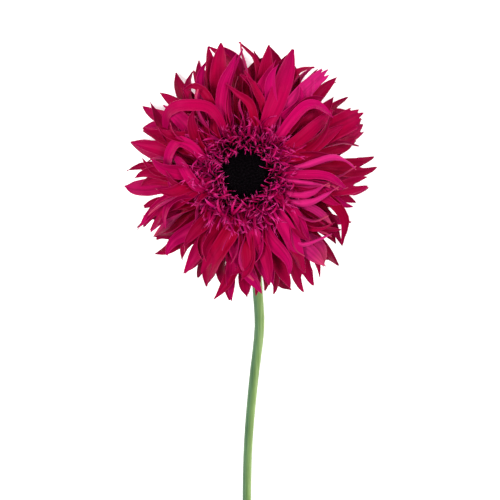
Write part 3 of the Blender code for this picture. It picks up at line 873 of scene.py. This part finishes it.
def frillRow(row):
    radius, height, count, usual, lean, spread = row
    made = []
    for i in range(count):
        floret = copyOf(chance.choice(frillKinds), "floret")
        turn = 360 * (i + chance.uniform(-0.35, 0.35)) / count
        size = usual * chance.uniform(0.75, 1.2)
        if radius > frill["longFrom"]:
            size *= 1 + frill["longer"] * max(0.0, -math.sin(math.radians(turn)))
        upright = 90 - lean - chance.uniform(-0.5, 0.5) * spread
        floret.data.transform(
            Matrix.Rotation(math.radians(turn), 4, "Z")
            @ Matrix.Translation(((radius + chance.uniform(-0.8, 0.8)) * mm, 0, height * mm))
            @ Matrix.Rotation(math.radians(chance.uniform(-50, 50)), 4, "Z")
            @ Matrix.Rotation(math.radians(-upright), 4, "Y")
            @ Matrix.Rotation(math.radians(chance.uniform(-180, 180)), 4, "X")
            @ Matrix.Diagonal((size, size, size, 1))
        )
        tinted(floret, chance.random())
        made.append(floret)
    return made


def frillShadeBedPiece():
    # a dish of painted shade under the florets, so the gaps between them show dark: drawn outwards ring by
    # ring
    bpy.ops.object.select_all(action="DESELECT")
    (inner, low), *others = frill["bed"]
    bpy.ops.mesh.primitive_circle_add(vertices=48, radius=inner * mm, fill_type="NOTHING")
    bed = bpy.context.object
    bpy.ops.object.mode_set(mode="EDIT")
    bpy.ops.mesh.select_all(action="SELECT")
    bpy.ops.transform.translate(value=(0, 0, low * mm))
    for radius, height in others:
        bpy.ops.mesh.extrude_edges_move()
        bpy.ops.transform.resize(value=(radius / inner, radius / inner, 1), center_override=(0, 0, 0))
        bpy.ops.transform.translate(value=(0, 0, (height - low) * mm))
        inner, low = radius, height
    bpy.ops.mesh.select_all(action="SELECT")
    bpy.ops.mesh.normals_make_consistent(inside=False)
    bpy.ops.object.mode_set(mode="OBJECT")
    modifierApplied(bed, "SOLIDIFY", thickness=frill["bedThickness"] * mm, offset=-1)
    bed.data.materials.append(frillShadeSheet)
    return bed


# painted shade: a dark dish where the frill's gaps would otherwise show the petals below
bed = settle(frillShadeBedPiece(), "frill_shade_bed", 50)
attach(bed, "root")
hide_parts("trans_florets")
for number, row in enumerate(frill["rows"]):
    name = f"frill_row_{number + 1}"
    ring = settle(joined(frillRow(row), name), name, 60)
    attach(ring, "root")
    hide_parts("trans_florets")
for template in frillForms + frillKinds:
    bpy.data.objects.remove(template)
print("frill placed")


eye = {
    "buds": 200,
    "radius": 11.0,
    "crown": 14.0,       # height of the middle
    "rim": 12.2,         # and of the edge
    "budRadius": 0.72,
    "budTall": 1.15,
    "sizes": (0.75, 1.1),  # of the buds in the middle and at the edge
    "splay": 24.0,       # how far the edge's buds lean out
}


def budTemplate():
    # a teardrop: a small ball drawn up to a blunt point
    bpy.ops.object.select_all(action="DESELECT")
    bpy.ops.mesh.primitive_uv_sphere_add(segments=7, ring_count=5, radius=eye["budRadius"] * mm)
    bud = bpy.context.object
    bpy.ops.object.mode_set(mode="EDIT")
    scaled(bud, lambda v: v.co.z > 0.5 * eye["budRadius"] * mm, (0.75, 0.75, 1))
    scaled(bud, lambda v: v.co.z > 0.1 * eye["budRadius"] * mm, (1, 1, eye["budTall"] / eye["budRadius"]))
    bpy.ops.object.mode_set(mode="OBJECT")
    bud.data.materials.append(eyeBuds)
    return bud


def eyeBudsPiece():
    # buds stand in the spiral that every composite flower has, a golden angle apart
    template = budTemplate()
    small, large = eye["sizes"]
    buds = []
    for i in range(eye["buds"]):
        share = math.sqrt((i + 0.5) / eye["buds"])
        turn = i * math.radians(137.508)
        out = eye["radius"] * share
        height = eye["crown"] + (eye["rim"] - eye["crown"]) * share**2
        size = small + (large - small) * share
        bud = copyOf(template, "bud")
        bud.data.transform(
            Matrix.Translation((out * math.cos(turn) * mm, out * math.sin(turn) * mm, height * mm))
            @ Matrix.Rotation(turn, 4, "Z")
            @ Matrix.Rotation(math.radians(eye["splay"] * share), 4, "Y")
            @ Matrix.Diagonal((size, size, size, 1))
        )
        buds.append(bud)
    bpy.data.objects.remove(template)
    return joined(buds, "eye_buds")


buds = settle(eyeBudsPiece(), "eye_buds", 180)
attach(buds, "root")
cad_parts["disc_florets"].data.materials.clear()
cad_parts["disc_florets"].data.materials.append(eyeBuds)
print("eye placed")


cup = {
    # outside of the cup: radius and height from the neck to the rim
    "outside": ((3.9, -12.0), (5.6, -11.7), (8.8, -9.8), (11.9, -6.9), (13.6, -3.9), (13.9, -1.9),
                (13.8, -0.4)),
    # rows of bracts, lowest first: where on the outside they start and end, how many, width
    "rows": ((0.0, 0.62, 14, 2.6), (0.16, 0.84, 18, 2.9), (0.36, 1.0, 22, 3.0)),
    "bract": (10.0, 3.0),  # length and width as modelled
    "thickness": 0.35,
    "standOff": 0.25,      # the inmost row's gap from the cup
    "rowStep": 0.12,       # and each row further out
    "flare": 0.9,          # how far the points stand off more
}


def cupPoint(share):
    knots = [(i / (len(cup["outside"]) - 1), p) for i, p in enumerate(cup["outside"])]
    radius = curveThrough([(s, p[0]) for s, p in knots], share)
    height = curveThrough([(s, p[1]) for s, p in knots], share)
    return radius, height


def bractTemplate():
    # a narrow leaf that closes to a point, its margins bent down
    length, width = (size * mm for size in cup["bract"])
    bract = flatStrap("bract leaf", 8, 4, length, width)
    moved(bract, lambda v: abs(v.co.y) > 0.4 * width, (0, 0, -0.25 * mm))
    for col in range(9):
        share = col / 8
        keep = 0.8 + 0.2 * smoothStep(share / 0.4)
        if share >= 0.5:
            keep = max(0.06, 1 - ((share - 0.5) / 0.5) ** 1.7)
        scaled(bract, lambda v: abs(v.co.x - share * length) < 0.3 * mm, (1, keep, 1))
    bpy.ops.object.mode_set(mode="OBJECT")
    return bract


def bractRow(number, row):
    start, end, count, width = row
    template = bractTemplate()
    made = []
    for i in range(count):
        turn = math.radians(360 * (i + 0.5 * (number % 2) + chance.uniform(-0.12, 0.12)) / count)
        reach = end + chance.uniform(-0.05, 0.03)
        path = []
        for step in range(9):
            radius, height = cupPoint(start + (reach - start) * step / 8)
            radius += cup["standOff"] + cup["rowStep"] * (2 - number) + cup["flare"] * (step / 8) ** 4
            path.append((Vector((radius * math.cos(turn), radius * math.sin(turn), height)), 0))
        bract = copyOf(template, "bract")
        length, plain = cup["bract"]
        bract.data.transform(Matrix.Diagonal((pathLength(path) / length, width / plain, -1, 1)))
        bract.data.flip_normals()
        bentAlong(bract, path)
        made.append(bract)
    bpy.data.objects.remove(template)
    name = f"bract_row_{number + 1}"
    ring = joined(made, name)
    ring.data.materials.append(bractLeaf)
    modifierApplied(ring, "SOLIDIFY", thickness=cup["thickness"] * mm, offset=0)
    modifierApplied(ring, "SUBSURF", levels=1, render_levels=1)
    settle(ring, name, 60)
    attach(ring, "root")


for number, row in enumerate(cup["rows"]):
    bractRow(number, row)
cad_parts["involucre"].data.materials.clear()
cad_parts["involucre"].data.materials.append(bractLeaf)
print("involucre placed")


stem = {
    # distance from the head's axis and offset along +X, where the stem lies on the surface
    "wander": ((30.0, 2.2), (52.0, 4.8), (70.0, 6.1), (86.0, 7.0), (98.0, 6.2), (112.0, 4.6),
               (128.0, 3.1), (146.0, 1.7), (165.0, 0.9), (190.0, 0.7), (240.0, 1.2), (295.0, 2.6),
               (352.0, 3.2)),
    "atNeck": 2.6,
    "belowNeck": (80.0, 2.55),  # distance and radius
    "waist": (175.0, 2.25),
    "cut": (352.0, 2.75),
    "bendRadius": 24.0,
    "neckDepth": 12.0,
    "neckSwell": 0.5,
    "step": 5.5,
    "bendSteps": 14,
    # receptacle under the head: height and radius
    "receptacle": ((-11.2, 3.2), (-9.8, 4.3), (-7.4, 6.9), (-5.0, 9.3), (-3.4, 10.9)),
    "sides": 40,
    "section": 0.96,    # share of a station's radius, so that the stalk lies just clear of the surface
    "cutSlant": 28.0,
    "skin": 0.12,       # share of the radius: a ring inside the cut's edge
    "wall": 0.62,       # share of the radius, from the outside to the hollow
    "hollow": 9.0,
}


def stemStations():
    # centre and radius of each station, in millimetres from the head's foot on the surface
    lean = math.radians(head["lean"])
    bend = math.radians(90 - head["lean"])
    start = stem["bendRadius"] * math.sin(bend) + stem["neckDepth"] * math.sin(lean)
    radii = [(start, stem["atNeck"]), stem["belowNeck"], stem["waist"], stem["cut"]]
    stations = []
    along = stem["cut"][0]
    while along > start + 1:
        radius = curveThrough(radii, along)
        stations.append((Vector((curveThrough(stem["wander"], along), -along, radius)), radius))
        along -= stem["step"]
    for i in range(stem["bendSteps"] + 1):
        share = i / stem["bendSteps"]
        x = curveThrough(stem["wander"], start) * (1 - smoothStep(share))
        y = -start + stem["bendRadius"] * math.sin(bend * share)
        z = stem["atNeck"] + stem["bendRadius"] * (1 - math.cos(bend * share))
        stations.append((Vector((x, y, z)), stem["atNeck"] + stem["neckSwell"] * share**2))
    return stations


def stemSection():
    # the ring that is swept along the stem's line, drawn larger or smaller by each station's radius
    bpy.ops.object.select_all(action="DESELECT")
    bpy.ops.mesh.primitive_circle_add(vertices=stem["sides"], radius=stem["section"] * mm)
    bpy.ops.object.convert(target="CURVE")
    return bpy.context.object


def cutEnd(stalk):
    # the knife's slant, then the pale wall round the hollow
    endY = min(v.co.y for v in stalk.data.vertices)
    rim = [v.co for v in stalk.data.vertices if v.co.y < endY + 0.3 * mm]
    centre = sum(rim, Vector()) / len(rim)
    slant = math.radians(stem["cutSlant"])
    radius = stem["cut"][1] * mm
    bpy.ops.object.mode_set(mode="EDIT")
    pick(stalk, lambda v: v.co.y < endY + 0.3 * mm)
    bpy.ops.transform.rotate(value=slant, orient_axis="X", center_override=centre)
    bpy.ops.transform.resize(value=(1, 1, 1 / math.cos(slant)), center_override=centre)
    # the sweep closes its ends with triangles, and the rest of it is quads
    bpy.ops.mesh.select_mode(type="FACE")
    bm = bmesh.from_edit_mesh(stalk.data)
    for face in bm.faces:
        face.select_set(len(face.verts) == 3 and face.calc_center_median().y < centre.y + 3 * mm)
    bmesh.update_edit_mesh(stalk.data)
    bpy.ops.mesh.dissolve_faces()
    stalk.active_material_index = 1
    bpy.ops.object.material_slot_assign()
    bpy.ops.mesh.inset(thickness=stem["skin"] * radius)
    bpy.ops.mesh.inset(thickness=(stem["wall"] - stem["skin"]) * radius)
    bpy.ops.mesh.extrude_region_move(TRANSFORM_OT_translate={"value": (0, stem["hollow"] * mm, 0)})
    bpy.ops.mesh.select_all(action="SELECT")
    bpy.ops.mesh.normals_make_consistent(inside=False)
    bpy.ops.object.mode_set(mode="OBJECT")


def stemPiece():
    # the section is swept along the stem's line, thinning and swelling as it goes
    foot = Vector((headMatrix.translation.x, headMatrix.translation.y, 0))
    stations = [(foot + place * mm, radius, 0) for place, radius in stemStations()]
    for height, radius in stem["receptacle"]:
        stations.append((headMatrix @ Vector((0, 0, height * mm)), radius, 0))
    stalk = polyLine("stem_skin", stations)
    section = stemSection()
    stalk.data.twist_mode = "MINIMUM"
    stalk.data.bevel_mode = "OBJECT"
    stalk.data.bevel_object = section
    stalk.data.use_fill_caps = True
    only(stalk)
    bpy.ops.object.convert(target="MESH")
    bpy.data.objects.remove(section)
    stalk.data.materials.append(scapeSkin)
    stalk.data.materials.append(cutPith)
    modifierApplied(stalk, "WELD", merge_threshold=0.01 * mm)
    cutEnd(stalk)
    stalk.name = stalk.data.name = "stem_skin"
    smoothed(stalk, 50)
    return stalk


stalk = stemPiece()
# painted light: how far each point faces +X, towards the right lamp, for the stem's painted lit side
paintedLitSide = stalk.data.attributes.new("paintedLitSide", "FLOAT", "POINT")
paintedLitSide.data.foreach_set("value", [0.5 + 0.5 * v.normal.x for v in stalk.data.vertices])
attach(stalk, "root")
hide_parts("stem")
print("stem placed")


studio = {
    # metres here, but for the lens and the aim
    "width": 4.0,
    "world": 0.42,        # overhead; the backdrop round the horizon is fully lit
    "glow": 0.45,         # the floor's own light
    # square area lights: place about the head, size, power
    "lights": (
        ("right softbox", (0.62, 0.40, 0.86), 0.4, 8.5),
        ("left softbox", (-0.62, 0.16, 0.92), 0.4, 11.0),
    ),
    "lens": 170.0,
    "distance": 1.112,
    "aim": (2.3, -35.6),  # where the view is centred, from the eye
}


def floorMaterial():
    # matt white sweep, lit a little from behind as on a product table
    mat = blankMaterial("studio paper")
    place = addNode(mat, "TexCoord").outputs["Object"]
    grain = addNode(mat, "TexNoise", {"Vector": place, "Scale": 400.0})
    body = addNode(mat, "ValToRGB", {"Fac": grain}, [(0.3, "#f4f4f4"), (0.7, "#f8f8f8")])
    return finishMaterial(mat, addNode(mat, "BsdfPrincipled", {
        "Base Color": body, "Roughness": 0.9, "Emission Color": "#ffffff",
        "Emission Strength": studio["glow"],
    }))


bpy.ops.object.select_all(action="DESELECT")
bpy.ops.mesh.primitive_plane_add(size=studio["width"])
floor = bpy.context.object
floor.name = "studio_floor"
floor.data.materials.append(floorMaterial())

scene = bpy.context.scene
scene.world = bpy.data.worlds.new("studio")
scene.world.use_nodes = True
upward = addNode(scene.world, "SeparateXYZ", {
    "Vector": addNode(scene.world, "TexCoord").outputs["Generated"],
}).outputs["Z"]
lit = addNode(scene.world, "MapRange", {
    "Value": upward, "From Min": 0.16, "From Max": 0.4, "To Min": 1.0, "To Max": studio["world"],
})
backdrop = scene.world.node_tree.nodes["Background"]
backdrop.inputs["Color"].default_value = hexLinear("#ffffff")
scene.world.node_tree.links.new(lit.outputs["Result"], backdrop.inputs["Strength"])
scene.view_settings.view_transform = "Standard"

for name, offset, size, power in studio["lights"]:
    lamp = bpy.data.lights.new(name, "AREA")
    lamp.size = size
    lamp.energy = power
    held = bpy.data.objects.new(name, lamp)
    held.location = headMatrix.translation + Vector(offset)
    held.rotation_euler = (-Vector(offset)).to_track_quat("-Z", "Y").to_euler()
    scene.collection.objects.link(held)

camera = bpy.data.cameras.new("camera")
camera.lens = studio["lens"]
camera.sensor_width = 36
camera.clip_end = 20
eyePoint = bpy.data.objects.new("camera", camera)
aimX, aimY = studio["aim"]
eyePoint.matrix_world = headMatrix @ Matrix.Translation((aimX * mm, aimY * mm, studio["distance"]))
scene.collection.objects.link(eyePoint)
scene.camera = eyePoint
print("studio set")
